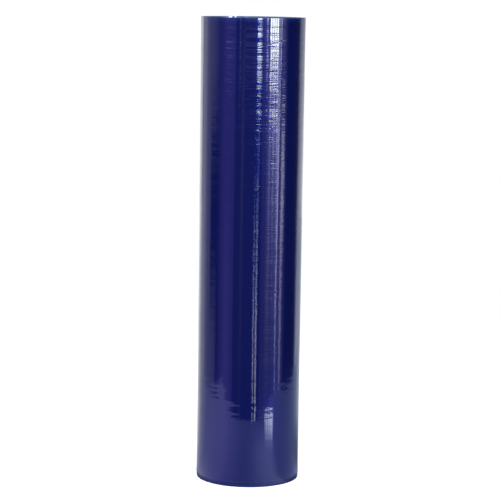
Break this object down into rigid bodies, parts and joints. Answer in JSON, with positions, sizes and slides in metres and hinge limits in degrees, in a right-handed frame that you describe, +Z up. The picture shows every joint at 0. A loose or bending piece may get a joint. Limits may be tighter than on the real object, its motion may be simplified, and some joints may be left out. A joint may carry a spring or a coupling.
{
  "type": "roll of protective film",
  "caption": "Tall roll of glossy dark blue plastic film wound on a paper core, standing on its end, its last turns wound a little high.",
  "frame": {"origin": "on the roll's axis, on the surface that the roll stands on", "axes": "+Z up along the roll's axis, towards the end where the last turns stand proud; X and Y are free, as the roll is round"},
  "size_m": [0.1373, 0.1374, 0.616],
  "materials": {
    "blue_film": "glossy, clear dark blue film in tight turns, with fine ripples round the roll",
    "paper_core": "matt brown paper, wound in a spiral"
  },
  "bodies": {
    "root": {"core": "paper_core", "film_roll": "blue_film"}
  },
  "joints": []
}
